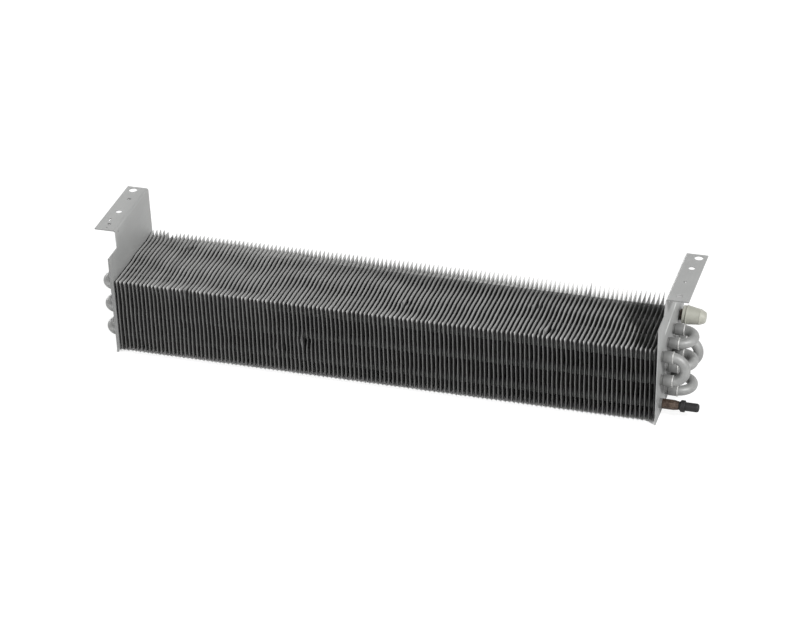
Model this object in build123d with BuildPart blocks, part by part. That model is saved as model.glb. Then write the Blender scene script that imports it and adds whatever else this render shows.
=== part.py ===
from build123d import *
from math import sqrt
import os

# Evaporator coil: one serpentine tube of aluminium through a pack of flat fins, between two
# sheet end plates whose flanges screw up to the ceiling of a cabinet.
# Millimetres. X runs along the coil, Y from the front to the rear, Z up. The origin is half
# way between the two large flange holes, on the top face of the flanges.

os.makedirs("parts", exist_ok=True)

# Tube layout
tube_rows = 3
tube_columns = 4
tube_pitch = 25.4
tube_od = 9.52
tube_wall = 0.9

# Fins
finned_length = 525.2
fin_pitch = 4.23
fin_thick = 0.25
fin_bore_gap = 0.04

# End plates
plate_thick = 1.0
plate_to_fin = 4.0
plate_bore_gap = 0.15
front_margin = 4.0
rear_margin = 5.8
foot_below_fins = 1.4
flange_above_fins = 44.0
flange_width = 21.3
flange_fold = 1.0
notch_depth = 22.7
notch_height = 18.4

# Flange holes. The forward distances are from the line through the two large holes
large_hole = 8.7
medium_hole = 6.4
spare_hole = 5.8
pilot_hole = 2.9
slit_width = 1.2
slit_length = 4.4
hole_from_rear = 6.4
large_from_plate = 13.6
small_from_plate = 11.0
left_rear_pilot_forward = 18.4
left_medium_forward = 44.7
left_slit_forward = 62.8
left_front_pilot_forward = 70.5
right_medium_forward = 20.1
right_pilot_forward = 46.8
right_spare_forward = 73.2

# Hairpin ends and return bends
bend_run_out = 0.2
stub_reach = 9.2
rear_stub_reach = 6.8
bell_start = 0.5
bell_cone = 0.9
bell_wall = 0.65
joint_gap = 0.05
bend_tuck = 0.8

# Braze beads
bead_width = 1.3
bead_height = 1.1
bead_lip = 0.15
bead_crown = 0.2

# Suction outlet, with its cap
outlet_stub = 3.2
copper_wall = 0.42
socket_gap = 0.04
outlet_start = 0.4
outlet_length = 16.0
outlet_cap_start = 2.9
outlet_cap_wall = 3.5
outlet_collar_length = 3.2
outlet_ridge_height = 0.8
outlet_ridge_width = 1.0
outlet_body_length = 12.6
outlet_body_draft = 1.1
outlet_shoulder_height = 0.35
outlet_nose_length = 5.2
outlet_nose_od = 8.5
outlet_soft_edge = 0.3
outlet_nose_round = 0.8

# Liquid inlet, with its cap
inlet_stub = 0.6
inlet_plug = 8.0
inlet_shoulder = 11.5
inlet_neck_od = 8.0
inlet_neck_end = 16.1
inlet_tail_od = 6.35
inlet_tail_end = 31.0
inlet_wall = 0.8
inlet_cap_start = 16.6
inlet_cap_length = 18.4
inlet_cap_wall = 0.9
inlet_collar_start = 1.1
inlet_collar_height = 1.5
inlet_collar_length = 4.4
inlet_collar_round = 0.9
inlet_tip_round = 2.2
inlet_edge_round = 0.4

# Worked-out sizes
tube_id = tube_od - 2 * tube_wall
fin_depth = tube_columns * tube_pitch
fin_height = tube_rows * tube_pitch
fin_count = 1 + round((finned_length - fin_thick) / fin_pitch)
fin_step = (finned_length - fin_thick) / (fin_count - 1)
plate_inner = finned_length / 2 + plate_to_fin
plate_outer = plate_inner + plate_thick
plate_depth = front_margin + fin_depth + rear_margin
plate_rear = hole_from_rear
plate_front = plate_rear - plate_depth
fin_front = plate_front + front_margin
fin_top = -flange_above_fins
fin_bottom = fin_top - fin_height
plate_bottom = fin_bottom - foot_below_fins
bell_foot = plate_outer + bell_start
bell_id = tube_od + 2 * joint_gap
bell_od = bell_id + 2 * bell_wall
bend_radius = tube_pitch / 2


def column_y(column):
    """Tube columns are counted from the front, from 1."""
    return fin_front + (column - 0.5) * tube_pitch


def row_z(row):
    """Tube rows are counted from the top, from 1."""
    return fin_top - (row - 0.5) * tube_pitch


def bell_mouth(column):
    """Where the opened-out tube ends of a column stop, beyond the right end plate."""
    return plate_outer + (rear_stub_reach if column == tube_columns else stub_reach)


def save(piece, name):
    piece.part.label = name
    export_step(piece.part, f"parts/{name}.step")


def make_fins():
    """Flat fins, each pierced for every tube, spaced evenly along the coil."""
    with BuildPart() as fin:
        with BuildSketch(Plane.YZ) as blank:
            with Locations((fin_front + fin_depth / 2, (fin_top + fin_bottom) / 2)):
                Rectangle(fin_depth, fin_height)
                with GridLocations(tube_pitch, tube_pitch, tube_columns, tube_rows):
                    Circle(tube_od / 2 + fin_bore_gap, mode=Mode.SUBTRACT)
        extrude(amount=fin_thick)
    with BuildPart() as fins:
        first = -finned_length / 2
        with Locations(*[(first + i * fin_step, 0, 0) for i in range(fin_count)]):
            add(fin.part)
    return fins


def make_end_plate(side, round_holes, slits=()):
    """A sheet folded to an L: the plate stands beside the fins and its flange turns outward.
    The front corner under the flange is notched. Side is 1 at the right and -1 at the left.
    A round hole is its way forward of the rear hole line, its way out from the plate and its
    bore. A slit is the same with no bore."""
    with BuildPart() as plate:
        with BuildSketch(Plane.XZ.offset(-plate_rear)) as fold:
            with BuildLine():
                FilletPolyline(
                    (side * plate_inner, plate_bottom),
                    (side * plate_inner, 0),
                    (side * (plate_inner + flange_width), 0),
                    (side * (plate_inner + flange_width), -plate_thick),
                    (side * plate_outer, -plate_thick),
                    (side * plate_outer, plate_bottom),
                    radius=[0, flange_fold + plate_thick, 0, 0, flange_fold, 0],
                    close=True,
                )
            make_face()
        extrude(amount=plate_depth)
        with BuildSketch(Plane.YZ) as notch:
            with Locations((plate_front, -notch_height)):
                Rectangle(notch_depth, notch_height, align=(Align.MIN, Align.MIN))
        extrude(amount=side * (plate_inner + flange_width), mode=Mode.SUBTRACT)
        with BuildSketch(Plane.YZ) as tube_holes:
            with Locations((fin_front + fin_depth / 2, (fin_top + fin_bottom) / 2)):
                with GridLocations(tube_pitch, tube_pitch, tube_columns, tube_rows):
                    Circle(tube_od / 2 + plate_bore_gap)
        extrude(amount=side * plate_outer, mode=Mode.SUBTRACT)
        with BuildSketch(Plane.XY) as flange_holes:
            for forward, out, bore in round_holes:
                with Locations((side * (plate_inner + out), -forward)):
                    Circle(bore / 2)
            for forward, out in slits:
                with Locations((side * (plate_inner + out), -forward)):
                    SlotOverall(slit_length, slit_width, rotation=90)
        extrude(amount=-plate_thick, mode=Mode.SUBTRACT)
    return plate


def make_hairpin(row, column, ends):
    """A tube folded in half round the left end plate. Its two legs run to the right, in two
    columns side by side. Each end is "bell", opened out to take a return bend, or else its
    plain reach beyond the right end plate."""
    z = row_z(row)
    legs = [column_y(column), column_y(column + 1)]
    fold_x = -(plate_outer + bend_run_out)
    mouths = [bell_mouth(column), bell_mouth(column + 1)]
    reach = [bell_foot if end == "bell" else plate_outer + end for end in ends]
    with BuildPart() as hairpin:
        with BuildLine() as route:
            front_leg = Line((reach[0], legs[0], z), (fold_x, legs[0], z))
            rear_start = (fold_x, legs[1], z)
            crown = (fold_x - bend_radius, (legs[0] + legs[1]) / 2, z)
            ThreePointArc(front_leg @ 1, crown, rear_start)
            Line(rear_start, (reach[1], legs[1], z))
        with BuildSketch(Plane(front_leg @ 0, z_dir=front_leg % 0)) as section:
            Circle(tube_od / 2)
            Circle(tube_id / 2, mode=Mode.SUBTRACT)
        sweep(path=route.line)
        for y, mouth, end in zip(legs, mouths, ends):
            if end == "bell":
                depth = mouth - bell_foot
                with BuildSketch(Plane((bell_foot, y, z))) as bell:
                    with BuildLine():
                        Polyline(
                            (0, tube_id / 2),
                            (0, tube_od / 2),
                            (bell_cone, bell_od / 2),
                            (depth, bell_od / 2),
                            (depth, bell_id / 2),
                            (bell_cone, bell_id / 2),
                            close=True,
                        )
                    make_face()
                revolve(axis=Axis((bell_foot, y, z), (1, 0, 0)))
    return hairpin


def make_return_bend(start, end):
    """A half turn of tube from one bell to the next. Start and end are (row, column)."""
    (y_1, z_1), (y_2, z_2) = [(column_y(c), row_z(r)) for r, c in (start, end)]
    mouth = bell_mouth(end[1])
    inside = bell_foot + bell_cone + joint_gap
    turn_x = mouth - bend_tuck
    with BuildPart() as bend:
        with BuildLine() as route:
            first = Line((inside, y_1, z_1), (turn_x, y_1, z_1))
            crown = (turn_x + bend_radius, (y_1 + y_2) / 2, (z_1 + z_2) / 2)
            ThreePointArc(first @ 1, crown, (turn_x, y_2, z_2))
            Line((turn_x, y_2, z_2), (inside, y_2, z_2))
        with BuildSketch(Plane(first @ 0, z_dir=first % 0)) as section:
            Circle(tube_od / 2)
            Circle(tube_id / 2, mode=Mode.SUBTRACT)
        sweep(path=route.line)
    return bend


def make_braze_beads(places):
    """A rounded bead of solder seated on the mouth of each bell. The bend has begun to curve
    where it leaves the bead, so the bore is as wide as the bend's inner side needs there."""
    inner_side = bend_radius - tube_od / 2
    bore = bend_radius - sqrt(inner_side**2 - (bend_tuck + bead_width) ** 2) + joint_gap
    with BuildPart() as beads:
        for row, column in places:
            place = (bell_mouth(column), column_y(column), row_z(row))
            with BuildSketch(Plane(place)) as bead:
                with BuildLine():
                    foot = Line((0, bore), (0, tube_od / 2 + bead_height))
                    slope = SagittaArc(foot @ 1, (bead_width, bore + bead_lip), bead_crown)
                    Polyline(slope @ 1, (bead_width, bore), foot @ 0)
                make_face()
            revolve(axis=Axis(place, (1, 0, 0)))
    return beads


def make_turned(row, column, corners):
    """A piece turned about a tube's line. Corners go round its half section, each with its
    way out from the right end plate, its distance from the line and its rounding radius."""
    y, z = column_y(column), row_z(row)
    with BuildPart() as turned:
        with BuildSketch(Plane((plate_outer, y, z))) as half:
            with BuildLine():
                FilletPolyline(
                    *[(out, distance) for out, distance, rounding in corners],
                    radius=[rounding for out, distance, rounding in corners],
                    close=True,
                )
            make_face()
        revolve(axis=Axis((plate_outer, y, z), (1, 0, 0)))
    return turned


def make_outlet_tube(row, column):
    """A copper sleeve over the plain end of a hairpin, open at both ends."""
    bore = tube_od / 2 + socket_gap
    outside = bore + copper_wall
    end = outlet_start + outlet_length
    corners = [
        (outlet_start, bore, 0),
        (outlet_start, outside, 0),
        (end, outside, 0),
        (end, bore, 0),
    ]
    return make_turned(row, column, corners)


def make_outlet_cap(row, column):
    """A plastic cap pushed over the outlet: a collar, a ridge, a body with a little draft, and
    beyond its shoulder a tapered blunt nose."""
    bore = tube_od / 2 + 2 * socket_gap + copper_wall
    outside = bore + outlet_cap_wall
    ridge = outside + outlet_ridge_height
    shoulder = ridge - outlet_body_draft
    mouth = outlet_cap_start
    ridge_start = mouth + outlet_collar_length
    ridge_end = ridge_start + outlet_ridge_width
    body_end = ridge_end + outlet_body_length
    end = body_end + outlet_nose_length
    pocket = outlet_start + outlet_length + socket_gap
    corners = [
        (mouth, bore, 0),
        (mouth, outside, outlet_soft_edge),
        (ridge_start, outside, 0),
        (ridge_start, ridge, outlet_soft_edge),
        (ridge_end, ridge, 0),
        (body_end, shoulder - outlet_shoulder_height, 0),
        (body_end, shoulder, outlet_soft_edge / 2),
        (end, outlet_nose_od / 2, outlet_nose_round),
        (end, 0, 0),
        (pocket + outlet_cap_wall, 0, 0),
        (pocket, bore, 0),
    ]
    return make_turned(row, column, corners)


def make_inlet_tube(row, column):
    """A copper tube plugged into the plain end of a hairpin, then necked down in two steps."""
    plug = tube_id / 2 - socket_gap
    bore = inlet_tail_od / 2 - inlet_wall
    corners = [
        (inlet_stub - inlet_plug, bore, 0),
        (inlet_stub - inlet_plug, plug, 0),
        (inlet_stub, plug, 0),
        (inlet_stub, tube_od / 2, inlet_edge_round),
        (inlet_shoulder, tube_od / 2, 0),
        (inlet_neck_end, inlet_neck_od / 2, inlet_edge_round),
        (inlet_neck_end, inlet_tail_od / 2, 0),
        (inlet_tail_end, inlet_tail_od / 2, 0),
        (inlet_tail_end, bore, 0),
    ]
    return make_turned(row, column, corners)


def make_inlet_cap(row, column):
    """A rubber cap pushed over the inlet: a collar near its mouth and a slim body with a round
    tip."""
    bore = inlet_tail_od / 2 + socket_gap
    body = bore + inlet_cap_wall
    collar = body + inlet_collar_height
    collar_start = inlet_cap_start + inlet_collar_start
    collar_end = collar_start + inlet_collar_length
    end = inlet_cap_start + inlet_cap_length
    pocket = inlet_tail_end + socket_gap
    corners = [
        (inlet_cap_start, bore, 0),
        (inlet_cap_start, body, 0),
        (collar_start, body, 0),
        (collar_start, collar, inlet_collar_round),
        (collar_end, collar, inlet_collar_round),
        (collar_end, body, 0),
        (end, body, inlet_tip_round),
        (end, 0, 0),
        (pocket, 0, 0),
        (pocket, bore, 0),
    ]
    return make_turned(row, column, corners)


save(make_fins(), "fins")

left_holes = [
    (0, large_from_plate, large_hole),
    (left_rear_pilot_forward, small_from_plate, pilot_hole),
    (left_medium_forward, small_from_plate, medium_hole),
    (left_front_pilot_forward, small_from_plate, pilot_hole),
]
left_slits = [(left_slit_forward, large_from_plate)]
right_holes = [
    (0, large_from_plate, large_hole),
    (right_medium_forward, small_from_plate, medium_hole),
    (right_pilot_forward, small_from_plate, pilot_hole),
    (right_spare_forward, small_from_plate, spare_hole),
]
save(make_end_plate(-1, left_holes, left_slits), "left_end_plate")
save(make_end_plate(1, right_holes), "right_end_plate")

# The circuit, from the inlet to the outlet, as hairpins on the left and bends on the right
row_names = ["top", "middle", "bottom"]
outlet_place = (1, 4)
inlet_place = (3, 1)
plain_ends = {outlet_place: outlet_stub, inlet_place: inlet_stub}
for row, row_name in enumerate(row_names, start=1):
    for column, column_name in ((1, "front"), (3, "rear")):
        ends = [plain_ends.get((row, c), "bell") for c in (column, column + 1)]
        save(make_hairpin(row, column, ends), f"hairpin_{row_name}_{column_name}")

bends = {
    "return_bend_top": ((1, 2), (1, 3)),
    "return_bend_middle": ((2, 2), (2, 3)),
    "return_bend_bottom": ((3, 2), (3, 3)),
    "return_bend_front": ((1, 1), (2, 1)),
    "return_bend_rear": ((2, 4), (3, 4)),
}
for name, (start, end) in bends.items():
    save(make_return_bend(start, end), name)
save(make_braze_beads([place for pair in bends.values() for place in pair]), "braze_beads")

save(make_outlet_tube(*outlet_place), "outlet_tube")
save(make_outlet_cap(*outlet_place), "outlet_cap")
save(make_inlet_tube(*inlet_place), "inlet_tube")
save(make_inlet_cap(*inlet_place), "inlet_cap")
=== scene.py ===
from math import cos, pi, radians, sin

import bmesh
import bpy
import numpy as np
from bpy.props import FloatProperty, FloatVectorProperty, IntProperty, PointerProperty
from mathutils import Matrix, Vector
from mathutils.geometry import delaunay_2d_cdt


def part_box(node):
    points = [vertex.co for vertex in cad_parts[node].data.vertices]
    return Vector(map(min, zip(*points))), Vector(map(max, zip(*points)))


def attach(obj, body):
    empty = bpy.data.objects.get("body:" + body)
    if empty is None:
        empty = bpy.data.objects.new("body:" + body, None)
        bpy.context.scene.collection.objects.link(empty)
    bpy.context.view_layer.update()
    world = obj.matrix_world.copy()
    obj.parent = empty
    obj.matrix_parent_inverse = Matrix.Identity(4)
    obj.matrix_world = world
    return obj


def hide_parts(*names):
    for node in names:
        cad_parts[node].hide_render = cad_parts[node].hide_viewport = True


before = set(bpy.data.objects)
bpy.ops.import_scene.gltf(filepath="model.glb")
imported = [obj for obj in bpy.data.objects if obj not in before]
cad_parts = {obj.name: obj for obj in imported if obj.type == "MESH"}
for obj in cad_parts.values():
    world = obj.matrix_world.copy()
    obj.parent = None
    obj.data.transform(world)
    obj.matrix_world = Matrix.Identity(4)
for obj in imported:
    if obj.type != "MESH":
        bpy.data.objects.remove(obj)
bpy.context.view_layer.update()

bl_info = {
    "name": "Evaporator coil",
    "version": (1, 0, 0),
    "blender": (4, 5, 0),
    "location": "3D View > Sidebar > Coil",
    "description": "Dresses a fin-and-tube evaporator coil round its packed frame",
    "category": "Object",
}

MM = 0.001

# Sizes that shapes and finishes share
TUBE_PITCH = 25.4 * MM
TUBE_COLUMNS, TUBE_ROWS = 4, 3
PLATE_THICK = 1.0 * MM
NOTCH_DEPTH = 22.7 * MM

# Places that the frame gives, in metres
fins_low, fins_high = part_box("fins")
left_plate_low, left_plate_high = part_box("left_end_plate")
right_plate_low, right_plate_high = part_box("right_end_plate")
right_plate_inner = -left_plate_high.x
right_face = right_plate_inner + PLATE_THICK
flange_front = right_plate_low.y + NOTCH_DEPTH


def length(name, default, description):
    """A size in metres for a panel."""
    return FloatProperty(
        name=name, default=default, description=description,
        unit="LENGTH", subtype="DISTANCE", precision=5,
    )


def angle(name, default, description):
    """An angle for a panel, given in degrees."""
    return FloatProperty(
        name=name, default=radians(default), description=description, subtype="ANGLE"
    )


def share(name, default, description):
    """A plain number from 0 to 1 for a panel."""
    return FloatProperty(
        name=name, default=default, description=description, min=0, max=1, subtype="FACTOR"
    )


def level(name, default, description):
    """A lamp's power for a panel."""
    return FloatProperty(name=name, default=default, description=description, min=0, unit="POWER")


def colour(name, default, description):
    """A colour for a panel."""
    return FloatVectorProperty(
        name=name, default=default, description=description, size=3, min=0, max=1, subtype="COLOR"
    )


class CoilFinSizes(bpy.types.PropertyGroup):
    """How the fins are made and how far they are bent."""

    count: IntProperty(name="Fins", default=125, description="Number of fins", min=2)
    pieces: IntProperty(
        name="Pieces", default=4, description="Objects that share the fins", min=1
    )
    thick: length("Thickness", 0.25 * MM, "Thickness of the foil")
    tube_pitch: length("Tube pitch", TUBE_PITCH, "Spacing of the tubes, both ways")
    hole: length("Hole radius", 4.78 * MM, "Radius of each tube hole")
    collar: length("Collar", 1.3 * MM, "Height of the drawn collar round each hole")
    collar_root: length("Collar root", 0.5 * MM, "Width of the curve from collar to fin")
    rays: IntProperty(name="Rays", default=24, description="Faces round each tube hole", min=8)
    spread: length("Spread", 0.17 * MM, "How much tighter the left end's fins stand")
    ripple: length("Ripple", 0.32 * MM, "Waviness of the fins between the tubes")
    sway: length("Sway", 0.42 * MM, "Waviness of the fins' top edges")
    corner_lean: length("Corner lean", 1.3 * MM, "Most that a front top corner leans to the left")
    ragged: length("Raggedness", 0.22 * MM, "Unevenness of the fins' front and top edges")
    seed: IntProperty(name="Seed", default=7, description="Picks the bends")


class CoilPlateSizes(bpy.types.PropertyGroup):
    """How the end plates are folded, pierced and notched."""

    thick: length("Thickness", PLATE_THICK, "Thickness of the sheet")
    fold: length("Fold radius", 1.0 * MM, "Radius inside the fold under the flange")
    tube_hole: length("Tube hole radius", 4.91 * MM, "Radius of each tube hole")
    notch_depth: length("Notch depth", NOTCH_DEPTH, "How far the notch goes back from the front")
    notch_height: length("Notch height", 18.4 * MM, "How far the notch goes down from the flange")
    mesh_step: length("Mesh step", 7.0 * MM, "Spacing of the points inside the sheet")


class CoilCapSizes(bpy.types.PropertyGroup):
    """The outlet's plastic cap, measured from its mouth and its middle line."""

    wall: length("Wall", 3.4 * MM, "Thickness of the collar")
    end_wall: length("End wall", 7.4 * MM, "Thickness of the closed end")
    copper_wall: length("Copper wall", 0.42 * MM, "Thickness of the copper sleeve under the cap")
    copper_edge: length("Copper edge", 0.2 * MM, "Width of the sleeve's bevelled edge")
    collar: length("Collar radius", 8.7 * MM, "Outer radius of the collar")
    ridge_at: length("Ridge start", 3.2 * MM, "Way from the mouth to the ridge")
    ridge_wide: length("Ridge width", 0.8 * MM, "Width of the ridge")
    body: length("Body end", 16.6 * MM, "Way from the mouth to the shoulder")
    shoulder: length("Shoulder radius", 7.8 * MM, "Radius at the shoulder")
    nose: length("Nose radius", 4.9 * MM, "Radius of the end, before it is rounded off")
    edge: length("Edge", 0.3 * MM, "Width of the bevels")
    droop: angle("Droop", 3, "How far the cap hangs down")
    lift: length("Lift", 1.6 * MM, "How far the cap sits above the hairpin's line")
    sleeve_lift: length("Sleeve lift", 1.2 * MM, "How far the copper sits above the hairpin's line")


class CoilColours(bpy.types.PropertyGroup):
    """Base colours of the finishes."""

    foil: colour("Foil", (0.362, 0.362, 0.357), "Rolled aluminium of the fins")
    # Painted light of the fins' rear top corners, as if lit from behind, on the left and on the
    # right
    foil_lit_left: colour("Backlit foil", (0.48, 0.48, 0.47), "Rear top corners of the fins, left")
    foil_lit_right: colour("Pale foil", (0.86, 0.86, 0.85), "Rear top corners of the fins, right")
    sheet: colour("Sheet", (0.305, 0.308, 0.304), "Aluminium sheet of the end plates")
    tube: colour("Tube", (0.255, 0.257, 0.252), "Drawn aluminium tube")
    solder: colour("Solder", (0.37, 0.37, 0.36), "Bright beads at the joints")
    copper: colour("Copper", (0.030, 0.0175, 0.0105), "Heat-darkened copper")
    scale: colour("Scale", (0.105, 0.074, 0.055), "Paler scale on the copper")
    plastic: colour("Plastic", (0.338, 0.337, 0.294), "Off-white plastic cap")
    rubber: colour("Rubber", (0.008, 0.008, 0.008), "Black rubber cap")
    floor: colour("Floor", (0.9, 0.9, 0.9), "Studio floor")


class CoilStageSettings(bpy.types.PropertyGroup):
    """Camera and lamps."""

    azimuth: angle("Azimuth", 17.45, "Camera's turn to the right")
    elevation: angle("Elevation", 30.70, "Camera's tilt down")
    roll: angle("Roll", -1.727, "Camera's turn about its line of sight")
    place: FloatVectorProperty(
        name="Place", default=(0.6951, -2.2459, 1.2886), description="Camera's place", size=3,
        subtype="TRANSLATION", unit="LENGTH",
    )
    lens: FloatProperty(
        name="Lens", default=126.43, description="Focal length in millimetres", unit="CAMERA"
    )
    key_light: level("Key", 240.0, "Power of the lamp up on the right, a little in front")
    back_light: level("Back", 14.0, "Power of the wide lamp behind")
    rim_light: level("Rim", 30.0, "Power of the low lamp behind on the left")
    left_light: level("Left", 42.0, "Power of the wide lamp in front on the left")
    sky: FloatProperty(name="Sky", default=0.06, description="Light from all round", min=0)
    backdrop: FloatProperty(
        name="Backdrop", default=1.1, description="How bright the surroundings are seen", min=0
    )
    floor_white: FloatProperty(
        name="Floor white", default=1.15, description="How bright the floor's white is", min=0
    )
    floor_glow: share("Floor glow", 0.8, "Share of the floor's look that is plain white")


class Value:
    """A number that varies over a surface. An expression on values adds its Math nodes."""

    def __init__(self, graph, socket):
        self.graph = graph
        self.socket = socket

    def __add__(self, other):
        return self.graph.math("ADD", self, other)

    def __radd__(self, other):
        return self.graph.math("ADD", other, self)

    def __sub__(self, other):
        return self.graph.math("SUBTRACT", self, other)

    def __rsub__(self, other):
        return self.graph.math("SUBTRACT", other, self)

    def __mul__(self, other):
        return self.graph.math("MULTIPLY", self, other)

    def __rmul__(self, other):
        return self.graph.math("MULTIPLY", other, self)

    def __truediv__(self, other):
        return self.graph.math("DIVIDE", self, other)

    def __pow__(self, other):
        return self.graph.math("POWER", self, other)

    def __abs__(self):
        return self.graph.math("ABSOLUTE", self)

    def smaller(self, other):
        return self.graph.math("MINIMUM", self, other)

    def larger(self, other):
        return self.graph.math("MAXIMUM", self, other)

    def over(self, low, high):
        """Rises smoothly from 0 at low to 1 at high."""
        settings = {"interpolation_type": "SMOOTHSTEP"}
        inputs = {"Value": self, "From Min": low, "From Max": high}
        return Value(self.graph, self.graph.node("ShaderNodeMapRange", settings, inputs).outputs[0])

    def under(self, low, high):
        """Falls smoothly from 1 at low to 0 at high."""
        return 1 - self.over(low, high)


class Graph:
    """An emptied node tree, with short calls for its nodes."""

    def __init__(self, tree):
        self.tree = tree
        tree.nodes.clear()

    def node(self, kind, settings=None, inputs=None):
        """Adds a node of this type, with its settings and then its sockets' values or links."""
        made = self.tree.nodes.new(kind)
        for name, value in (settings or {}).items():
            setattr(made, name, value)
        for name, value in (inputs or {}).items():
            self.feed(made.inputs[name], value)
        return made

    def feed(self, socket, value):
        """Links a value or a socket, or sets a plain number or colour."""
        if isinstance(value, Value):
            value = value.socket
        if isinstance(value, bpy.types.NodeSocket):
            self.tree.links.new(value, socket)
        elif socket.type == "RGBA" and len(value) == 3:
            socket.default_value = (*value, 1)
        else:
            socket.default_value = value

    def math(self, operation, *operands):
        """A Math node's result."""
        made = self.node("ShaderNodeMath", {"operation": operation}, dict(enumerate(operands)))
        return Value(self, made.outputs[0])

    def sees_backdrop(self):
        """1 for what the camera sees, also in a shine or through glass, and 0 for the light that
        falls on things."""
        path = self.node("ShaderNodeLightPath")
        rays = ("Is Camera Ray", "Is Glossy Ray", "Is Transmission Ray")
        camera, glossy, through = (Value(self, path.outputs[name]) for name in rays)
        return camera.larger(glossy).larger(through)


class Finish(Graph):
    """A material round one Principled shader. Its tone starts as the base colour times a number,
    and each shade is laid over it."""

    def __init__(self, name, base, start=1.0):
        self.material = bpy.data.materials.new(name)
        self.material.use_nodes = True
        super().__init__(self.material.node_tree)
        self.shader = self.node("ShaderNodeBsdfPrincipled")
        surface = {"Surface": self.shader.outputs[0]}
        self.output = self.node("ShaderNodeOutputMaterial", {}, surface)
        self.place = self.node("ShaderNodeTexCoord").outputs["Object"]
        self.base = tuple(base)
        self.tone = self.tint(start)

    def tint(self, amount):
        """The base colour made darker or lighter."""
        return tuple(min(1.0, part * amount) for part in self.base)

    def mix(self, factor, first, second):
        """A colour that goes from the first to the second as the factor goes from 0 to 1."""
        inputs = {0: factor, 6: first, 7: second}
        return self.node("ShaderNodeMix", {"data_type": "RGBA"}, inputs).outputs[2]

    def shade(self, factor, amount):
        """Moves the tone toward the base colour times this amount, as far as the factor says."""
        self.tone = self.mix(factor, self.tone, self.tint(amount))

    def axis(self, name):
        """One of the object's own coordinates, in millimetres."""
        parts = self.node("ShaderNodeSeparateXYZ", {}, {"Vector": self.place})
        return Value(self, parts.outputs[name]) / MM

    def axes(self):
        """The object's own coordinates, in millimetres."""
        return tuple(self.axis(name) for name in "XYZ")

    def noise(self, *grain, detail=3):
        """Soft noise from 0 to 1. Grain is the size of its lumps in millimetres, either all ways or
        along x, y and z."""
        scale = tuple(1 / (size * MM) for size in (grain if len(grain) == 3 else 3 * grain))
        spot = self.node("ShaderNodeMapping", {}, {"Vector": self.place, "Scale": scale})
        inputs = {"Vector": spot.outputs[0], "Scale": 1, "Detail": detail, "Roughness": 0.55}
        return Value(self, self.node("ShaderNodeTexNoise", {}, inputs).outputs[0])

    def near(self, axes, place, reach):
        """1 within this reach of a place, fading to 0 a little farther out, in millimetres."""
        squares = [(axis - part) ** 2 for axis, part in zip(axes, place)]
        away = (squares[0] + squares[1] + squares[2]) ** 0.5
        return away.under(0.6 * reach, reach)

    def bump(self, height, distance, strength):
        """A normal from a height of 0 to 1 that stands for this distance in millimetres."""
        inputs = {"Strength": strength, "Distance": distance * MM, "Height": height}
        return self.node("ShaderNodeBump", {}, inputs).outputs[0]

    def done(self, **sockets):
        """Gives the shader its tone and its other sockets, named with underscores for spaces, and
        returns the material."""
        for name, value in {"Base_Color": self.tone, **sockets}.items():
            self.feed(self.shader.inputs[name.replace("_", " ")], value)
        return self.material


# Dents of the fins: the place, how far each pushes the fins apart and how wide it is, in
# millimetres. The first two are in the front, the next four in the top and the last two at corners
DENTS = (
    ((-97.4, -101.0, -93.2), 1.5, 3.5),
    ((-73.9, -101.0, -83.1), 1.7, 4.5),
    ((17.7, -73.5, -44.0), 1.7, 3.5),
    ((160.0, -89.5, -44.0), 1.9, 4.5),
    ((138.0, -51.0, -44.0), 1.5, 3.5),
    ((-216.0, -22.0, -44.0), 1.2, 4.0),
    ((-191.8, -101.0, -46.0), 1.4, 3.5),
    ((-242.6, -4.5, -44.0), 1.7, 5.0),
)

# Rear top corners that stand higher or lower: the place along the coil, the rise and the width, in
# millimetres
RISES = ((0, 1.6, 900), (-254, 1.8, 6), (-243.5, -5.5, 1.8), (179, 2.4, 2), (249, 1.6, 4))

# Places along the coil where the rear top corners are bent, so that they don't shine
BENT_CORNERS = (179, 254)


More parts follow.
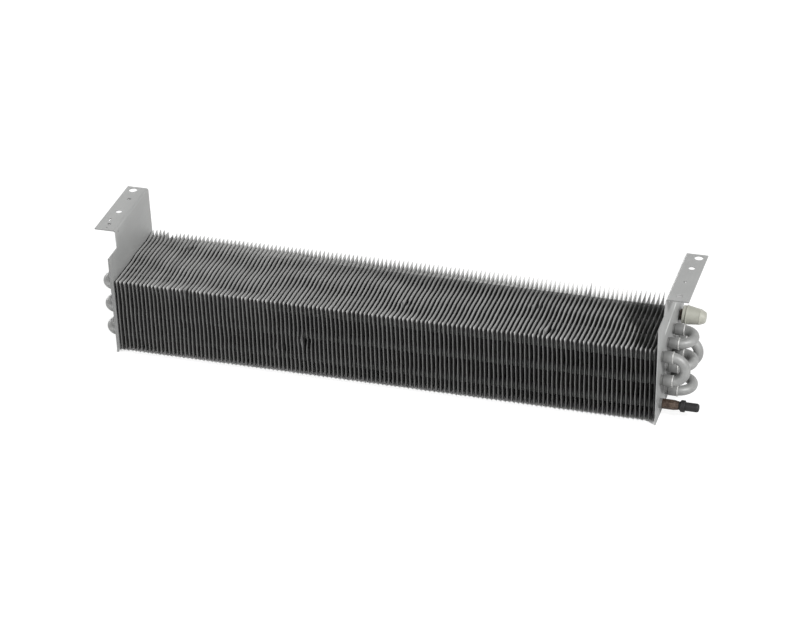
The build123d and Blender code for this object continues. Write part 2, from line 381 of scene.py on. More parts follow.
def finish_foil(colours):
    """Dull rolled foil: a little lighter or darker from fin to fin, with soft blotches. It is
    darker along its front edge, and painted shade darkens it round the tubes, deep inside and in
    the dents. The top edges are left lighter and the front top corners get a painted highlight. The
    rear top corners get painted shade before a slanting line and pale painted light behind it,
    more so toward the right."""
    foil = Finish("fin_foil", colours.foil, 0.86)
    x, y, z = foil.axes()
    low, high = fins_low / MM, fins_high / MM
    from_front, depth = y - low.y, high.z - z
    by_fin = foil.noise(4, 1000, 1000, detail=2)
    foil.shade(by_fin.over(0.3, 0.7), 1.1)
    blotch = foil.noise(30, 12, 12)
    foil.shade(blotch.over(0.45, 0.8) * 0.5, 0.72)

    # Darker along the front, and painted shade round each tube and deep inside the gaps
    pitch = TUBE_PITCH / MM
    aside_y = foil.math("FRACT", from_front / pitch) - 0.5
    aside_z = foil.math("FRACT", depth / pitch) - 0.5
    from_tube = pitch * (aside_y * aside_y + aside_z * aside_z) ** 0.5
    darker_front = from_front.under(8, 14) * depth.over(1, 4) * 0.86
    round_tube_shade = from_tube.under(7, 8.4) * 0.9
    inner = from_front.over(3, 7) * depth.over(2, 4.4) * 0.85
    inner = inner.larger(depth.over(1.2, 3.6) * x.under(-240, -40) * 0.62)
    foil.shade(darker_front.larger(round_tube_shade).larger(inner), 0.3)

    # Rear top corners: painted shade before the slanting line and painted light behind it, but not
    # where bent
    slant = (y - high.y) * 0.51 + (z - high.z) * 0.86
    foil.shade(slant.over(-24, -12) * x.over(-180, 40) * 0.52, 0.35)
    rightward = x.over(-20, 190)
    from_bent = abs(x - BENT_CORNERS[0]).smaller(abs(x - BENT_CORNERS[1]))
    shine = 0.1 + 0.46 * x.over(-230, -40) + 0.14 * rightward
    shine = shine * (0.2 + 0.8 * from_bent.over(1.6, 3.2))
    pale = foil.mix(rightward, tuple(colours.foil_lit_left), tuple(colours.foil_lit_right))
    foil.tone = foil.mix(slant.over(-10.8, -10) * shine, foil.tone, pale)

    # Painted highlight on the front top corners and painted shade in the dents
    foil.shade(from_front.under(1.2, 3) * depth.under(1.2, 3) * 0.6, 1.45)
    for place, _, reach in DENTS:
        foil.shade(foil.near((x, y, z), place, 1.2 * reach) * 0.8, 0.2)
    return foil.done(Roughness=0.55 + 0.2 * blotch, Metallic=0.1)


# Dark marks of the end plates: pilot holes, scuffs and specks, each with its place and reach in
# millimetres
MARKS = (
    ((-277.6, -18.4, 0), 2.6),
    ((-277.6, -70.5, 0), 2.4),
    ((-277.6, -77.7, 0), 1.2),
    ((277.6, -46.8, 0), 1.4),
    ((-266.6, -75.9, -3.7), 1.3),
    ((267.6, -62.6, -33.6), 1.8),
    ((267.6, -71.0, -36.5), 1.2),
)


def finish_sheet(colours):
    """Satin sheet: rolling marks along y, faint clouds, fine scratches and dark marks. The right
    plate's outer face, which the attribute outside marks, has painted shade that grows toward its
    foot, and a bright painted highlight streak with a painted shade line under it."""
    sheet = Finish("end_sheet", colours.sheet, 0.93)
    x, y, z = sheet.axes()
    rolled = sheet.noise(0.8, 60, 0.8, detail=4)
    cloud = sheet.noise(35, detail=4)
    speck = sheet.noise(0.9, detail=2)
    sheet.shade(cloud.over(0.3, 0.75), 1.06)
    sheet.shade(rolled.over(0.35, 0.8) * 0.5, 0.88)
    sheet.shade(speck.over(0.62, 0.8) * 0.35, 0.7)

    # Painted shade on the right plate's outer face, darker toward its foot
    attribute = sheet.node("ShaderNodeAttribute", {"attribute_name": "outside"})
    outside = Value(sheet, attribute.outputs["Fac"])
    face = right_face / MM
    outer = outside * x.over(face - 20, face - 10) * z.under(-3, -2)
    sheet.shade(outer * (0.07 + 0.29 * z.under(-75, -35)), 0.35)

    # A painted highlight streak with a painted shade line under it: across is the distance up from
    # a line that slants a little along y
    across = z + 33 - 0.128 * (y + 29.5)
    highlight_band = y.over(-78, -74) * y.under(-31, -27) * outer
    broken = 1 - 0.7 * cloud.over(0.5, 0.62)
    sheet.shade(abs(across + 0.6).under(1.4, 3.2) * highlight_band * broken * 0.8, 1.8)
    sheet.shade(abs(across + 4.6).under(0.6, 1.6) * highlight_band * 0.5, 0.6)

    # Cut edges that face the camera: the flanges' front ends and the left plate's front edge
    flange_end, left_edge = flange_front / MM, left_plate_low.y / MM
    sheet.shade(y.under(flange_end + 0.1, flange_end + 0.3) * z.over(-1.6, -1.2) * 0.7, 0.4)
    sheet.shade(y.under(left_edge + 0.3, left_edge + 0.6) * x.under(-2, 2) * 0.7, 0.4)
    for place, reach in MARKS:
        sheet.shade(sheet.near((x, y, z), place, reach) * 0.7, 0.25)
    normal = sheet.bump(0.6 * rolled + 0.4 * speck, 0.05, 0.35)
    return sheet.done(Roughness=0.5 + 0.16 * cloud, Metallic=0.15, Normal=normal)


def finish_tube(colours):
    """Drawn tube: soft satin grey, with blotches from brazing heat and fine specks. It is darker in
    its left half, darker with dirt and painted shade where it comes out of the plates, and dark
    with painted shade between the fins."""
    tube = Finish("aluminium_tube", colours.tube, 0.85)
    cloud = tube.noise(9, detail=4)
    speck = tube.noise(1.1)
    tube.shade(cloud.over(0.3, 0.75), 1.08)
    tube.shade(speck.over(0.6, 0.8) * 0.25, 0.68)
    x = tube.axis("X")
    end, face = fins_high.x / MM, right_face / MM
    bare = abs(x).over(end - 1, end + 1)
    tube.shade(x.under(-1, 1) * 0.3, 0.5)
    # Dirt and painted shade on the bells, where the tube comes out of the plates
    tube.shade(abs(x).under(face + 3, face + 10), 0.56)
    # Painted shade on the tube between the fins
    tube.shade(1 - bare, 0.35)
    roughness = 0.7 - bare * (0.25 - 0.15 * cloud)
    return tube.done(Roughness=roughness, Metallic=0.2, Normal=tube.bump(speck, 0.06, 0.2))


def finish_solder(colours):
    """Bright solder with dark flux specks."""
    solder = Finish("braze", colours.solder)
    speck = solder.noise(1.3)
    solder.shade(speck.over(0.5, 0.75), 0.5)
    normal = solder.bump(speck, 0.2, 0.5)
    return solder.done(Roughness=0.4 + 0.3 * speck, Metallic=0.35, Normal=normal)


def finish_copper(colours):
    """Heat-darkened copper: brown with paler scale in streaks round the tube."""
    copper = Finish("copper", colours.copper)
    cloud = copper.noise(4, 2.5, 2.5, detail=4)
    speck = copper.noise(0.8)
    copper.tone = copper.mix(cloud.over(0.4, 0.75), copper.tone, tuple(colours.scale))
    copper.shade(speck.over(0.55, 0.8) * 0.7, 0.35)
    normal = copper.bump(speck, 0.1, 0.5)
    return copper.done(Roughness=0.4 + 0.3 * cloud, Metallic=0.35, Normal=normal)


def finish_plastic(colours):
    """Soft off-white plastic with faint clouds and dust."""
    plastic = Finish("white_plastic", colours.plastic)
    cloud = plastic.noise(5)
    speck = plastic.noise(1, detail=2)
    plastic.shade(cloud.over(0.35, 0.75), 0.9)
    plastic.shade(speck.over(0.62, 0.85) * 0.3, 0.75)
    return plastic.done(Roughness=0.42 + 0.12 * cloud, Normal=plastic.bump(speck, 0.04, 0.3))


def finish_rubber(colours):
    """Matt black rubber with a film of dust."""
    rubber = Finish("black_rubber", colours.rubber)
    dust = rubber.noise(2.5, detail=4)
    rubber.shade(dust.over(0.45, 0.8), 2.2)
    normal = rubber.bump(dust, 0.06, 0.3)
    return rubber.done(Roughness=0.5 + 0.25 * dust, Specular_IOR_Level=0.3, Normal=normal)


def dress(name, material):
    """Gives a piece of the frame its finish."""
    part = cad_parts.get(name)
    if part is None:
        raise RuntimeError(f"the frame has no {name}")
    part.data.materials.clear()
    part.data.materials.append(material)


def new_piece(name, vertices, faces, material, replaced, smooth=35):
    """Puts a shape into a mesh that rides on the frame and stands for the nodes it replaces. Edges
    that turn by more than this many degrees stay sharp."""
    mesh = bpy.data.meshes.new(name)
    mesh.from_pydata(vertices.reshape(-1, 3), [], faces)
    mesh.shade_smooth()
    mesh.set_sharp_from_angle(angle=radians(smooth))
    mesh.materials.append(material)
    piece = bpy.data.objects.new(name, mesh)
    bpy.context.scene.collection.objects.link(piece)
    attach(piece, "root")
    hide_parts(*replaced)
    return piece


def face_out(mesh):
    """Joins points that lie on each other and turns all faces of the closed mesh outward."""
    work = bmesh.new()
    work.from_mesh(mesh)
    bmesh.ops.remove_doubles(work, verts=work.verts, dist=0.001 * MM)
    bmesh.ops.recalc_face_normals(work, faces=work.faces)
    work.to_mesh(mesh)
    work.free()


def open_edges(faces):
    """The edges that only one face has, in that face's own direction."""
    edges = np.stack([faces, np.roll(faces, -1, axis=1)], -1).reshape(-1, 2)
    key = np.sort(edges, axis=1)
    _, place, count = np.unique(key, axis=0, return_inverse=True, return_counts=True)
    return edges[count[place.reshape(-1)] == 1]


def rim_walls(faces, count):
    """Quads that join the open edges of a layer to those of the next, which has the same points in
    the same order, numbered this count higher."""
    start, end = open_edges(faces).T
    return np.stack([end, start, start + count, end + count], -1)


def bell(distance, reach):
    """A smooth hump: 1 at no distance, falling to nothing a few reaches away. The distance is in
    metres and the reach in millimetres, and so are the reach or the wave's length below."""
    return np.exp(-((distance / (reach * MM)) ** 2))


def fading(distance, reach):
    """1 at no distance, a third of it one reach away."""
    return np.exp(-distance / (reach * MM))


def rising(distance, reach):
    """A smooth step from 0 to 1, mostly within one reach of no distance."""
    return 0.5 + 0.5 * np.tanh(distance / (reach * MM))


def turns(distance, wave):
    """The angle that a wave of this length has come round at this distance."""
    return 2 * pi * distance / (wave * MM)


def tube_centres(pitch):
    """Where the tubes cross a fin or a plate, as grids of y and z by column and row."""
    y = fins_low.y + (np.arange(TUBE_COLUMNS) + 0.5) * pitch
    z = fins_high.z - (np.arange(TUBE_ROWS) + 0.5) * pitch
    return np.meshgrid(y, z, indexing="ij")


# Shares of the way from a tube's collar to the square round it at which rings of points lie
FLAT_RINGS = (0.36, 0.68, 1.0)

# The first ring, counted from nought at the collar's end, that follows a fin's uneven edges
UNEVEN_RING = 3


def pierced_sheet(sizes):
    """One side of a fin, as points (y, z) and quads. Round each tube hole, rays go out through
    points spaced evenly along the square between the tubes, and each ring takes a share of the way
    from the hole to the square. The first two rings are the collar's end and its root. Squares that
    touch share their points. Also gives each point's share and which ring it is on."""
    half = sizes.tube_pitch / 2
    side = sizes.rays // 4
    run = np.linspace(-half, half, side + 1)[:-1]
    edge = np.concatenate([
        np.stack([np.full(side, half), run], 1),
        np.stack([-run, np.full(side, half)], 1),
        np.stack([np.full(side, -half), -run], 1),
        np.stack([run, np.full(side, -half)], 1),
    ])
    away = np.linalg.norm(edge, axis=1, keepdims=True)
    root = sizes.collar_root / (away - sizes.hole)
    shares = np.stack([0 * away, root, *(np.full_like(away, share) for share in FLAT_RINGS)])
    cell = edge / away * (sizes.hole + (away - sizes.hole) * shares)
    centres = np.stack(tube_centres(sizes.tube_pitch), -1).reshape(-1, 1, 1, 2)
    points = centres + cell[None]
    part = np.broadcast_to(shares[None, :, :, 0], points.shape[:3])
    ring = np.broadcast_to(np.arange(len(shares))[None, :, None], points.shape[:3])
    here = np.arange(points[..., 0].size).reshape(points.shape[:3])
    beside = np.roll(here, -1, axis=2)
    quads = np.stack([here[:, :-1], here[:, 1:], beside[:, 1:], beside[:, :-1]], -1).reshape(-1, 4)
    flat = points.reshape(-1, 2)
    rounded = np.round(flat / (0.01 * MM))
    _, first, place = np.unique(rounded, axis=0, return_index=True, return_inverse=True)
    return flat[first], place.reshape(-1)[quads], part.reshape(-1)[first], ring.reshape(-1)[first]


def fin_places(sizes):
    """Where each fin stands along the coil: even steps, and a parabola that draws the fins a
    little to the left in the middle, so the left end's stand tighter."""
    along = np.linspace(-1, 1, sizes.count)
    half = (fins_high.x - fins_low.x - sizes.thick) / 2
    most = sizes.spread * sizes.count / 4
    return along * half - most * (1 - along**2)


# Ripples of the fins: the wave's length along y and z, the way along the coil in which it slides
# round once, in millimetres, and its share of the whole
RIPPLES = ((61, 47, 230, 0.5), (29, 83, 140, 0.3), (23, 19, 90, 0.2))

# Places where handling bent the top edges, in millimetres
CREASE_X, CREASE_Y = -252, -79
KINK_Y = -89
STEP_Y = -20


def ripple_lean(sizes, x, y, z, draw):
    """The sum of products of a sine of y and a cosine of z, whose phase slides from fin to fin."""
    lean = 0
    for wave_y, wave_z, slide, size in RIPPLES:
        phase = 2 * pi * draw.random(2)
        along = np.sin(turns(y, wave_y) + turns(x, slide) + phase[0])
        lean = lean + size * along * np.cos(turns(z, wave_z) + phase[1])
    return sizes.ripple * lean


def front_lean(sizes, z, from_front, depth, draw):
    """Front top corners lean left by a random amount that fades down and back, and the front edges
    wave in a sine of z."""
    corner = 0.25 + 0.75 * draw.random((sizes.count, 1)) ** 2
    corner = sizes.corner_lean * corner * fading(from_front, 6) * fading(depth, 8)
    wave = draw.normal(0, 0.35 * sizes.ripple, (sizes.count, 1))
    wave = wave * np.sin(turns(z, 37) + 6 * draw.random((sizes.count, 1)))
    return wave * fading(from_front, 9) - corner


def dent_lean(x, y, z):
    """Dents push fins apart by a hyperbolic tangent times bell curves."""
    lean = 0
    for place, push, reach in DENTS:
        dent_x, dent_y, dent_z = (part * MM for part in place)
        near = bell(x - dent_x, 1.8 * reach) * bell(y - dent_y, reach) * bell(z - dent_z, reach)
        lean = lean + push * MM * np.tanh((x - dent_x) / (1.5 * MM)) * near
    return lean


def top_lean(sizes, x, y, depth, held, draw):
    """Top edges are creased near the left end, step aside at the rear toward the right, kink at
    the front toward the left, and sway in a sine of y."""
    rightward = rising(x, 120)
    crease = 0.9 * bell(x - CREASE_X * MM, 13) * bell(y - CREASE_Y * MM, 4)
    step = 0.7 + 0.6 * draw.random((sizes.count, 1))
    step = 0.8 * step * rising(y - STEP_Y * MM, 3) * rightward
    kink = 0.6 + 0.8 * draw.random((sizes.count, 1))
    kink = 0.5 * kink * bell(y - KINK_Y * MM, 5) * (1 - rightward)
    phase = 1.3 * np.sin(turns(x, 210)) + 0.8 * np.sin(turns(x, 77))
    sway = np.sin(turns(y, 43) + phase) * (1 - 0.6 * rightward) * (0.35 + 0.65 * held)
    return (crease + step + kink) * MM * fading(depth, 8) + sizes.sway * sway * fading(depth, 12)


def fin_lean(sizes, x, y, z, held):
    """How far each point of each fin leans along the coil, as a sum of bends."""
    draw = np.random.default_rng(sizes.seed)
    from_front, depth = y - fins_low.y, fins_high.z - z
    lean = ripple_lean(sizes, x, y, z, draw) * held
    lean += front_lean(sizes, z, from_front, depth, draw)
    lean += dent_lean(x, y, z)
    lean += top_lean(sizes, x, y, depth, held, draw)
    return lean


def fin_edges(sizes, x, y, z, outer):
    """How far the outer points stand forward and up: by a random amount for each fin that fades
    inward, and by bell curves along the coil at the rear top corners."""
    draw = np.random.default_rng(sizes.seed + 1)
    uneven = draw.uniform(-1, 1, (2, sizes.count, 1)) * sizes.ragged
    top = fading(fins_high.z - z, 5)
    forward = uneven[0] * fading(y - fins_low.y, 5) * outer
    upward = uneven[1] * top * outer
    for place, rise, width in RISES:
        upward += rise * MM * fading(fins_high.y - y, 8) * top * bell(x - place * MM, width)
    return forward, upward


class COIL_OT_build_fins(bpy.types.Operator):
    """Builds the fins: thin pierced sheets with a collar at each tube, bent as real ones are."""

    bl_idname = "coil.build_fins"
    bl_label = "Build fins"

    def execute(self, context):
        sizes = context.scene.coil_fins
        points, quads, held, ring = pierced_sheet(sizes)
        x = fin_places(sizes)[:, None]
        y, z = points.T
        forward, upward = fin_edges(sizes, x, y, z, ring >= UNEVEN_RING)
        collar = np.where(ring == 0, sizes.collar, 0)
        along = x + fin_lean(sizes, x, y, z, held) + collar
        middle = np.stack([along, y + forward, z + upward], -1)
        half = np.array([sizes.thick / 2, 0, 0])
        shell = np.stack([middle - half, middle + half], 1)
        count = len(points)
        walls = rim_walls(quads + count, -count)
        faces = np.concatenate([quads[:, ::-1], quads + count, walls])
        material = finish_foil(context.scene.coil_colours)
        for number, own in enumerate(np.array_split(np.arange(sizes.count), sizes.pieces)):
            step = 2 * count * np.arange(own.size)[:, None, None]
            piece_faces = (faces[None] + step).reshape(-1, 4)
            name = f"fins_{number + 1}"
            new_piece(name, shell[own], piece_faces, material, ["fins"])
        return {"FINISHED"}


# Holes of each flange: the place forward of the rear hole line, the way out from the plate's inner
# face, and the half width along the coil and along the flange, in millimetres
LEFT_HOLES = (
    (0, 13.6, 4.15, 4.15),
    (18.4, 11, 1.2, 1.2),
    (44.7, 11, 3.1, 3.1),
    (62.3, 13.6, 0.8, 3.4),
    (70.5, 11, 1.2, 1.2),
)
RIGHT_HOLES = (
    (0, 13.6, 4.15, 4.15),
    (20.1, 11, 3.1, 3.1),
    (46.8, 11, 1.2, 1.2),
    (73.2, 11, 2.8, 2.8),
)

# Points round each hole and round the fold of a plate
HOLE_POINTS, FOLD_POINTS = 24, 7

# Output type of Blender's triangulation that keeps what the outline encloses
INSIDE_OUTLINE = 1

# How far each plate leans along the coil at some heights, in millimetres, and how much farther out
# it stands for each millimetre to the rear of its middle
LEAN_HEIGHTS = (-121.6, -60, -18.4, 0)
LEFT_LEAN = (1.5, 0.8, 0.1, -0.5)
RIGHT_LEAN = (-2.0, -1.0, -0.4, 1.2)
SPLAY, SPLAY_MIDDLE = 0.004, -50


def clear_of_holes(spots, centres, halves):
    """Which spots lie outside all the oval holes."""
    return ((((spots[:, None] - centres) / halves) ** 2).sum(-1) > 1).all(1)


def flat_sheet(outline, centres, halves, folds, step):
    """Triangles of a flat sheet with this outline, from rings of points round the holes, rows of
    points along the folds and a grid elsewhere, joined so that each triangle is as even as may be.
    Triangles whose middle is in a hole are dropped."""
    outline = np.array(outline)
    turn = 2 * pi * np.arange(HOLE_POINTS) / HOLE_POINTS
    circle = np.stack([np.cos(turn), np.sin(turn)], 1)
    rings = centres[:, None] + circle * halves[:, None]
    low, high = outline.min(0), outline.max(0)
    rows = np.concatenate([np.arange(low[0] + step, folds[0] - step / 2, step), folds])
    columns = np.arange(low[1] + step, high[1] - step / 2, step)
    grid = np.stack(np.meshgrid(rows, columns, indexing="ij"), -1).reshape(-1, 2)
    grid = grid[clear_of_holes(grid, centres, halves + 0.25 * step)]
    ring_numbers = len(outline) + np.arange(rings[..., 0].size).reshape(-1, HOLE_POINTS)
    loops = [np.arange(len(outline)), *ring_numbers]
    edges = np.concatenate([np.stack([loop, np.roll(loop, -1)], 1) for loop in loops])
    spots = [Vector(spot) for spot in np.concatenate([outline, rings.reshape(-1, 2), grid])]
    made = delaunay_2d_cdt(spots, edges.tolist(), [], INSIDE_OUTLINE, 0.0001 * MM)
    flat, triangles = np.array(made[0]), np.array(made[2])
    return flat, triangles[clear_of_holes(flat[triangles].mean(1), centres, halves)]


def plate_outline(sizes, folds, top):
    """The corners of the flat sheet, as the way up it and y, with points where it folds."""
    low, high = right_plate_low, right_plate_high
    notch_y = low.y + sizes.notch_depth
    notch_up = -sizes.notch_height - low.z
    rear = [(way, high.y) for way in folds]
    front = [(way, notch_y) for way in folds[::-1]]
    return [
        (0, low.y), (0, high.y), *rear, (top, high.y),
        (top, notch_y), *front, (notch_up, notch_y), (notch_up, low.y),
    ]


def plate_holes(sizes, pitch, flange_holes, fold_end):
    """Centres and half widths of the tubes' and the flange's holes, on the flat sheet."""
    y, z = tube_centres(pitch)
    tubes = np.stack([z - right_plate_low.z, y], -1).reshape(-1, 2)
    forward, out, half_out, half_along = np.array(flange_holes).T * MM
    flange = np.stack([fold_end + out - sizes.thick - sizes.fold, -forward], -1)
    halves = [np.full_like(tubes, sizes.tube_hole), np.stack([half_out, half_along], -1)]
    return np.concatenate([tubes, flange]), np.concatenate(halves)


def plate_lean(side, y, z):
    """How far a plate leans along the coil: by height, and outward a little toward the rear."""
    leans = LEFT_LEAN if side < 0 else RIGHT_LEAN
    by_height = np.interp(z, np.array(LEAN_HEIGHTS) * MM, np.array(leans) * MM)
    return by_height + side * SPLAY * (y - SPLAY_MIDDLE * MM)


class COIL_OT_build_end_plates(bpy.types.Operator):
    """Builds both end plates: a sheet cut flat with its holes and notch, folded over at the flange
    and leaning a little, as the real ones do."""

    bl_idname = "coil.build_end_plates"
    bl_label = "Build end plates"

    def execute(self, context):
        material = finish_sheet(context.scene.coil_colours)
        self.build(context, "left_end_plate", -1, LEFT_HOLES, material)
        self.build(context, "right_end_plate", 1, RIGHT_HOLES, material)
        return {"FINISHED"}

    def build(self, context, name, side, flange_holes, material):
        """Marks the sheet out by the way up it and over the fold, and by y. Folding turns that way
        into x and z: straight up, then a quarter turn, then straight out."""
        sizes = context.scene.coil_plates
        half = sizes.thick / 2
        bend = sizes.fold + half
        rise = -sizes.thick - sizes.fold - right_plate_low.z
        fold_end = rise + bend * pi / 2
        out = right_plate_high.x - right_face - sizes.fold
        folds = rise + bend * pi / 2 * np.linspace(0, 1, FOLD_POINTS)
        outline = plate_outline(sizes, folds, fold_end + out)
        pitch = context.scene.coil_fins.tube_pitch
        centres, halves = plate_holes(sizes, pitch, flange_holes, fold_end)
        spots, triangles = flat_sheet(outline, centres, halves, folds, sizes.mesh_step)
        way, y = spots.T
        turn = np.clip((way - rise) / bend, 0, pi / 2)
        flange = np.clip(way - fold_end, 0, None)
        layer = np.array([[-1], [1]]) * half
        x = right_plate_inner + half + bend * (1 - np.cos(turn)) + flange - layer * np.cos(turn)
        z = right_plate_low.z + np.clip(way, 0, rise) + (bend + layer) * np.sin(turn)
        y = np.broadcast_to(y, x.shape)
        layers = np.stack([side * x + plate_lean(side, y, z), y, z], -1)
        count = len(spots)
        both = np.concatenate([triangles[:, ::-1], triangles + count])
        faces = both.tolist() + rim_walls(triangles, count).tolist()
        piece = new_piece(f"{name}_sheet", layers, faces, material, [name])
        outside = piece.data.attributes.new("outside", "FLOAT", "POINT")
        outside.data.foreach_set("value", np.repeat([1.0, 0.0], count))
        face_out(piece.data)


class COIL_OT_dress_tubes(bpy.types.Operator):
    """Gives the hairpins, the return bends and the beads their finishes."""

    bl_idname = "coil.dress_tubes"
    bl_label = "Dress tubes"

    def execute(self, context):
        colours = context.scene.coil_colours
        material = finish_tube(colours)
        for row in ("top", "middle", "bottom"):
            for column in ("front", "rear"):
                dress(f"hairpin_{row}_{column}", material)
        for bend in ("top", "middle", "bottom", "front", "rear"):
            dress(f"return_bend_{bend}", material)
        dress("braze_beads", finish_solder(colours))
        return {"FINISHED"}


def turned(outline, rays):
    """A closed piece turned about x: each point of the outline gives its way along and its distance
    from the axis. It becomes a ring of points, (along, distance cos a, distance sin a), or a single
    pole where the distance is nought."""
    along, distance = np.array(outline, float).T[:, :, None]
    spoke = np.arange(rays)
    around = 2 * pi * spoke / rays
    rings = [along + 0 * around, distance * np.cos(around), distance * np.sin(around)]
    own = (distance > 0) | (spoke == 0)
    numbers = np.cumsum(own).reshape(own.shape) - 1
    faces = []
    for here, there in zip(numbers, numbers[1:]):
        quads = np.stack([there, np.roll(there, -1), np.roll(here, -1), here], 1)
        if there[0] == there[-1]:
            quads = quads[:, 1:]
        if here[0] == here[-1]:
            quads = quads[:, :-1]
        faces += quads.tolist()
    return np.stack(rings, -1)[own], faces


# How the cap's end is rounded: the way back from the end and the way out from the nose's radius,
# in millimetres
NOSE_ROUND = ((1.3, 0.75), (0.4, 0.1), (0.0, -0.7))

# Faces round the turned pieces
SLEEVE_RAYS, CAP_RAYS = 36, 40


class COIL_OT_build_pipe_ends(bpy.types.Operator):
    """Builds the outlet's sleeve and drooping cap, and finishes the inlet's tube and cap."""

    bl_idname = "coil.build_pipe_ends"
    bl_label = "Build pipe ends"

    def execute(self, context):
        colours = context.scene.coil_colours
        copper = finish_copper(colours)
        dress("inlet_tube", copper)
        dress("inlet_cap", finish_rubber(colours))
        self.build_sleeve(context.scene.coil_cap, copper)
        self.build_cap(context.scene.coil_cap, finish_plastic(colours))
        return {"FINISHED"}

    def build_sleeve(self, sizes, material):
        """Turns the copper sleeve as a ring: out along the outside and back along the bore."""
        low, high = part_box("outlet_tube")
        middle = (low + high) / 2
        outside = (high.z - low.z) / 2
        reach = high.x - low.x
        bore = outside - sizes.copper_wall
        edge = sizes.copper_edge
        outline = [
            (0, bore), (0, outside - edge), (edge, outside),
            (reach, outside), (reach, bore), (0, bore),
        ]
        points, faces = turned(outline, SLEEVE_RAYS)
        points += (low.x, middle.y, middle.z + sizes.sleeve_lift)
        name, replaced = "outlet_tube_sleeve", ["outlet_tube"]
        sleeve = new_piece(name, points, faces, material, replaced, smooth=30)
        face_out(sleeve.data)

    def build_cap(self, sizes, material):
        """Turns the cap's outline about x, inside as well as out, and then tips it about its
        mouth's middle."""
        low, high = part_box("outlet_cap")
        middle = (low + high) / 2
        reach = high.x - low.x
        ridge = (high.z - low.z) / 2
        collar, shoulder, nose, body = sizes.collar, sizes.shoulder, sizes.nose, sizes.body
        edge, ridge_at, ridge_end = sizes.edge, sizes.ridge_at, sizes.ridge_at + sizes.ridge_wide
        outline = [
            (reach - sizes.end_wall, 0),
            (reach - sizes.end_wall, collar - sizes.wall),
            (0, collar - sizes.wall),
            (0, collar - edge),
            (edge, collar),
            (ridge_at - edge, collar),
            (ridge_at, ridge - edge),
            (ridge_at + edge, ridge),
            (ridge_end, ridge),
            (ridge_end + edge, ridge - 1.4 * edge),
            (body - 2 * edge, shoulder - edge),
            (body - edge, shoulder),
            (body, shoulder - edge),
            *((reach - back * MM, nose + out * MM) for back, out in NOSE_ROUND),
            (reach, 0),
        ]
        points, faces = turned(outline, CAP_RAYS)
        points = points @ np.array(Matrix.Rotation(sizes.droop, 3, "Y")).T
        points += (low.x, middle.y, middle.z + sizes.lift)
        name, replaced = "outlet_cap_shell", ["outlet_cap"]
        cap = new_piece(name, points, faces, material, replaced, smooth=30)
        face_out(cap.data)


# Lamps: the name, the place, the two sides in metres and the setting that gives the power
LAMPS = (
    ("key_lamp", (3.04, -2.03, 2.75), (0.7, 0.7), "key_light"),
    ("back_lamp", (0.2, 2.2, 1.1), (4.0, 2.4), "back_light"),
    ("rim_lamp", (-1.3, 1.9, 0.1), (1.6, 0.4), "rim_light"),
    ("left_lamp", (-1.75, -1.4, 0.75), (1.8, 1.2), "left_light"),
)
LAMP_TARGET = (0, -0.05, -0.08)

# Half the floor's side, in metres, and the width of the camera's sensor, in millimetres
FLOOR_REACH = 8.0
SENSOR_WIDTH = 36


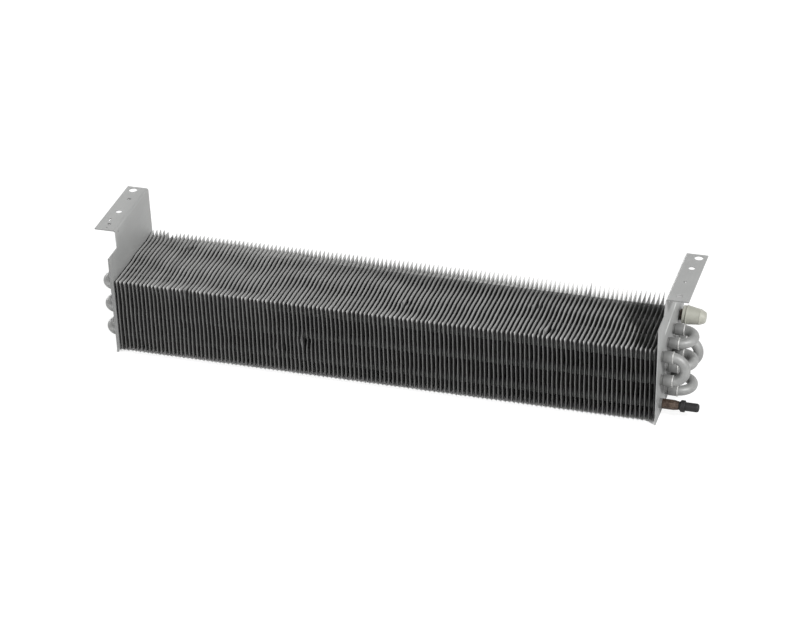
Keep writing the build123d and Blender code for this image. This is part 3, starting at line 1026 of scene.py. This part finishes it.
class COIL_OT_set_stage(bpy.types.Operator):
    """Makes the floor, the white surroundings, the lamps and the camera."""

    bl_idname = "coil.set_stage"
    bl_label = "Set stage"

    def execute(self, context):
        stage = context.scene.coil_stage
        self.make_floor(context, stage)
        self.make_surroundings(context, stage)
        self.make_lamps(context, stage)
        self.make_camera(context, stage)
        return {"FINISHED"}

    def make_floor(self, context, stage):
        """A plain square under the end plates, seen nearly white and still catching the shadow. The
        white begins where the coil's own outline ends."""
        corners = np.array([(-1, -1, 0), (1, -1, 0), (1, 1, 0), (-1, 1, 0)]) * FLOOR_REACH
        corners[:, 2] = left_plate_low.z
        mesh = bpy.data.meshes.new("floor")
        mesh.from_pydata(corners, [], [(0, 1, 2, 3)])
        floor = bpy.data.objects.new("floor", mesh)
        context.scene.collection.objects.link(floor)
        finish = Finish("floor", context.scene.coil_colours.floor)
        mesh.materials.append(finish.done(Roughness=0.9))
        x, y = finish.axis("X"), finish.axis("Y")
        low, high, face = fins_low / MM, fins_high / MM, right_face / MM
        half_deep = (high.y - low.y) / 2
        right = x.over(high.x - 2, high.x + 4)
        left = (0 - x).over(face - 2, face + 1)
        before_or_behind = abs(y - (low.y + high.y) / 2).over(half_deep, half_deep + 7)
        white_part = finish.sees_backdrop() * right.larger(left).larger(before_or_behind)
        glow = {"Color": (1, 1, 1), "Strength": stage.floor_white}
        white = finish.node("ShaderNodeEmission", {}, glow).outputs[0]
        both = {0: white_part * stage.floor_glow, 1: finish.shader.outputs[0], 2: white}
        surface = finish.node("ShaderNodeMixShader", {}, both).outputs[0]
        finish.feed(finish.output.inputs["Surface"], surface)

    def make_surroundings(self, context, stage):
        """A world that is seen white and lights the object more softly."""
        world = bpy.data.worlds.new("surroundings")
        context.scene.world = world
        world.use_nodes = True
        graph = Graph(world.node_tree)
        strength = stage.sky + (stage.backdrop - stage.sky) * graph.sees_backdrop()
        look = {"Color": (1, 1, 1), "Strength": strength}
        background = graph.node("ShaderNodeBackground", {}, look)
        graph.node("ShaderNodeOutputWorld", {}, {"Surface": background.outputs[0]})

    def make_lamps(self, context, stage):
        """Soft lamps that face the coil and aren't seen themselves."""
        for name, place, sides, power in LAMPS:
            lamp = bpy.data.lights.new(name, "AREA")
            lamp.shape = "RECTANGLE"
            lamp.size, lamp.size_y = sides
            lamp.energy = getattr(stage, power)
            holder = bpy.data.objects.new(name, lamp)
            holder.visible_camera = False
            holder.location = place
            facing = Vector(LAMP_TARGET) - Vector(place)
            holder.rotation_euler = facing.to_track_quat("-Z", "Y").to_euler()
            context.scene.collection.objects.link(holder)

    def make_camera(self, context, stage):
        """Looks down its own -Z. Its right and up come from the azimuth and elevation, and are then
        turned by the roll."""
        turn, tilt, roll = stage.azimuth, stage.elevation, stage.roll
        forward = Vector((-sin(turn) * cos(tilt), cos(turn) * cos(tilt), -sin(tilt)))
        level_right = Vector((cos(turn), sin(turn), 0))
        level_up = level_right.cross(forward)
        right = level_right * cos(roll) + level_up * sin(roll)
        up = level_up * cos(roll) - level_right * sin(roll)
        data = bpy.data.cameras.new("camera")
        data.lens = stage.lens
        data.sensor_width = SENSOR_WIDTH
        camera = bpy.data.objects.new("camera", data)
        facing = Matrix((right, up, -forward)).transposed().to_4x4()
        camera.matrix_world = Matrix.Translation(Vector(stage.place)) @ facing
        context.scene.collection.objects.link(camera)
        context.scene.camera = camera


GROUPS = {
    "coil_fins": CoilFinSizes,
    "coil_plates": CoilPlateSizes,
    "coil_cap": CoilCapSizes,
    "coil_colours": CoilColours,
    "coil_stage": CoilStageSettings,
}
STEPS = (
    COIL_OT_build_fins,
    COIL_OT_build_end_plates,
    COIL_OT_dress_tubes,
    COIL_OT_build_pipe_ends,
    COIL_OT_set_stage,
)


class COIL_PT_sidebar(bpy.types.Panel):
    """Lists the sizes, the colours and the steps."""

    bl_label = "Evaporator coil"
    bl_idname = "COIL_PT_sidebar"
    bl_space_type = "VIEW_3D"
    bl_region_type = "UI"
    bl_category = "Coil"

    def draw(self, context):
        for name in GROUPS:
            group = getattr(context.scene, name)
            box = self.layout.box()
            for size in group.__annotations__:
                box.prop(group, size)
        for step in STEPS:
            self.layout.operator(step.bl_idname)


CLASSES = (*GROUPS.values(), *STEPS, COIL_PT_sidebar)


def register():
    for made in CLASSES:
        bpy.utils.register_class(made)
    for name, group in GROUPS.items():
        setattr(bpy.types.Scene, name, PointerProperty(type=group))


def unregister():
    for name in GROUPS:
        delattr(bpy.types.Scene, name)
    for made in reversed(CLASSES):
        bpy.utils.unregister_class(made)


def main():
    register()
    bpy.context.scene.view_settings.view_transform = "Standard"
    bpy.ops.coil.build_fins()
    bpy.ops.coil.build_end_plates()
    bpy.ops.coil.dress_tubes()
    bpy.ops.coil.build_pipe_ends()
    bpy.ops.coil.set_stage()


if __name__ == "__main__":
    main()
